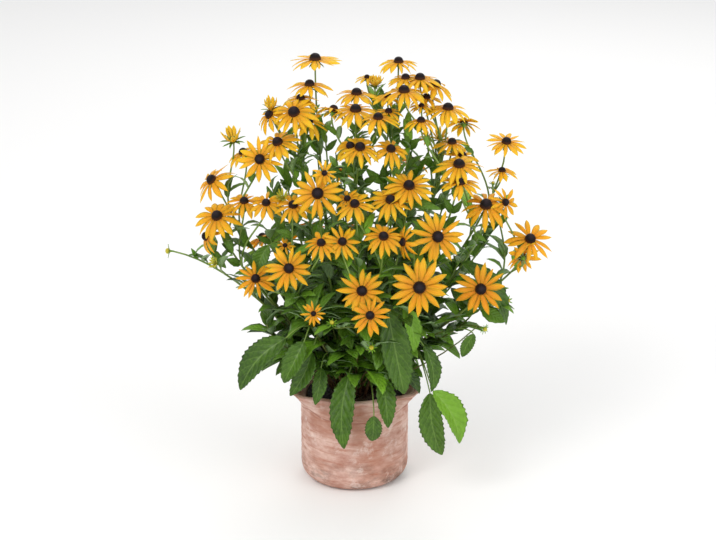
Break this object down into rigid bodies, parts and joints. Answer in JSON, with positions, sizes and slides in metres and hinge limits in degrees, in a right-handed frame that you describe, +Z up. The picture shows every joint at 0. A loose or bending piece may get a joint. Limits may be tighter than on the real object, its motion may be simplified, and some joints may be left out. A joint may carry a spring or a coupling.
{
  "type": "potted orange coneflower",
  "caption": "Bushy flowering perennial with domed dark cones and golden ray petals, growing from soil in a terracotta pot with a four-cornered rim.",
  "frame": {"origin": "middle of the pot's flat foot", "axes": "+Z up along the pot's axis, -Y towards the side seen in the picture, +X to that viewer's right"},
  "size_m": [0.506, 0.3215, 0.5881],
  "materials": {
    "terracotta": "unglazed fired clay, washed out, with pale bloom and grey-brown stains",
    "potting_soil": "dark crumbly potting soil",
    "foliage": "living green leaf and stem, slightly shiny, with fine hairs",
    "petals": "golden orange ray petals with lengthwise grooves, soft sheen",
    "cones": "purple-brown dome of tiny packed disc florets"
  },
  "bodies": {
    "root": {"bloom_01": "petals", "bloom_02": "petals", "bloom_03": "petals", "bloom_04": "petals", "bloom_05": "petals", "bloom_10": "petals", "bloom_11": "petals", "bloom_12": "petals", "bloom_13": "petals", "bloom_14": "petals", "bloom_18": "petals", "bloom_19": "petals", "bloom_29": "petals", "bloom_36": "petals", "bloom_39": "petals", "bloom_40": "petals", "bloom_41": "petals", "bloom_42": "petals", "bloom_45": "petals", "bloom_48": "petals", "bloom_49": "petals", "bloom_54": "petals", "bloom_59": "petals", "bloom_62": "petals", "bloom_63": "petals", "bloom_65": "petals", "bloom_66": "petals", "bloom_68": "petals", "bloom_69": "petals", "bloom_70": "petals", "bloom_71": "petals", "bloom_72": "petals", "bloom_73": "petals", "bloom_74": "petals", "bloom_75": "petals", "bloom_76": "petals", "bloom_77": "petals", "bloom_78": "petals", "bloom_79": "petals", "bloom_80": "petals", "blooms_06_07": "petals", "blooms_08_09": "petals", "blooms_15_16_17": "petals", "blooms_20_21": "petals", "blooms_22_23_24": "petals", "blooms_25_26_27_28_81": "petals", "blooms_30_31": "petals", "blooms_32_33_34_35": "petals", "blooms_37_38": "petals", "blooms_43_44": "petals", "blooms_46_47": "petals", "blooms_50_51": "petals", "blooms_52_53": "petals", "blooms_55_56": "petals", "blooms_57_58": "petals", "blooms_60_61": "petals", "blooms_64_67": "petals", "leafy_stems": "foliage", "pot": "terracotta", "soil": "potting_soil"}
  },
  "joints": []
}
